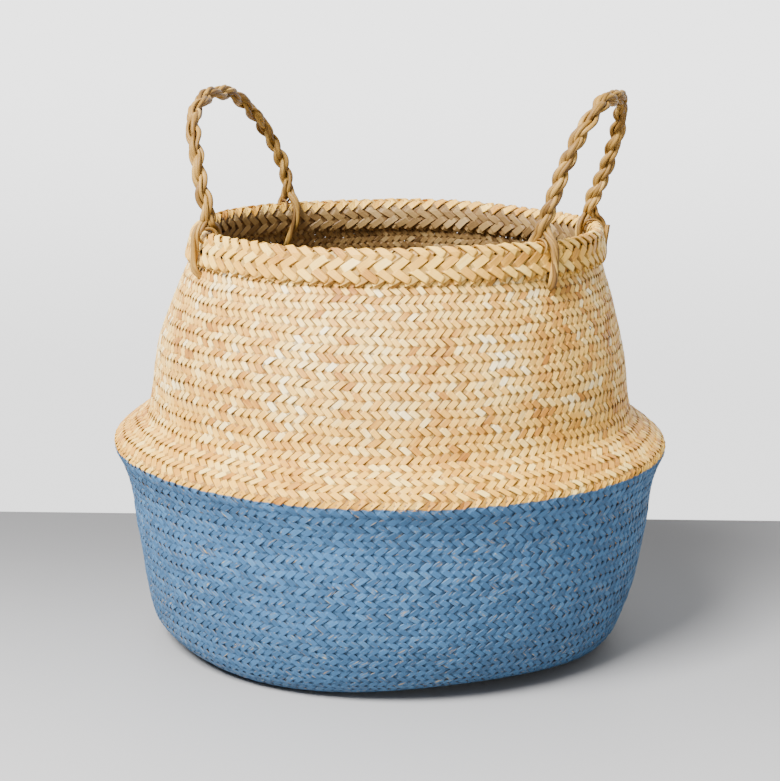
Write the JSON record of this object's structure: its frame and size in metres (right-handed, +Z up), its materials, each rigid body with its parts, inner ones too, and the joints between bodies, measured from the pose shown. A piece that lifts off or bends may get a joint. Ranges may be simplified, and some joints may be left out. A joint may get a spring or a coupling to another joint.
{
  "type": "plaited belly basket",
  "caption": "Round plaited storage basket with a wide painted bowl, a narrower natural neck that pushes down into it, and two swinging twisted rope handles.",
  "frame": {"origin": "centre of the base on the floor", "axes": "+Z up out of the mouth, the handles stand on the +X and -X sides"},
  "size_m": [0.4493, 0.4494, 0.4448],
  "materials": {
    "painted_plait": "matt blue paint on plaited seagrass",
    "natural_plait": "dry natural seagrass plait",
    "rim_plait": "coarse doubled seagrass plait",
    "twisted_rope": "twisted seagrass rope"
  },
  "bodies": {
    "bowl": {"base_mat": "painted_plait", "bowl_wall": "painted_plait", "shoulder": "natural_plait"},
    "neck": {"neck_wall": "natural_plait", "rim_band_outer": "rim_plait", "rim_hem_inner": "rim_plait", "rim_fold": "rim_plait", "right_front_outer_tail": "twisted_rope", "right_front_inner_tail": "twisted_rope", "right_back_outer_tail": "twisted_rope", "right_back_inner_tail": "twisted_rope", "left_back_outer_tail": "twisted_rope", "left_back_inner_tail": "twisted_rope", "left_front_outer_tail": "twisted_rope", "left_front_inner_tail": "twisted_rope", "right_front_wrap": "twisted_rope", "right_back_wrap": "twisted_rope", "left_back_wrap": "twisted_rope", "left_front_wrap": "twisted_rope", "right_back_loose_end": "twisted_rope"},
    "right_handle": {"right_handle_ply_a": "twisted_rope", "right_handle_ply_b": "twisted_rope"},
    "left_handle": {"left_handle_ply_a": "twisted_rope", "left_handle_ply_b": "twisted_rope"}
  },
  "joints": [
    {"name": "neck_push_down", "type": "slide", "parent": "bowl", "child": "neck", "axis": [0, 0, -1], "range_m": [0, 0.054], "deforming": ["shoulder"]},
    {"name": "right_handle_swing", "type": "hinge", "parent": "neck", "child": "right_handle", "pos_m": [0.1433, -0.0138, 0.35], "axis": [0.0958, 0.9954, 0], "range_deg": [-100, 66]},
    {"name": "left_handle_swing", "type": "hinge", "parent": "neck", "child": "left_handle", "pos_m": [-0.1203, -0.0042, 0.35], "axis": [0.0349, -0.9994, 0], "range_deg": [-100, 66]}
  ]
}
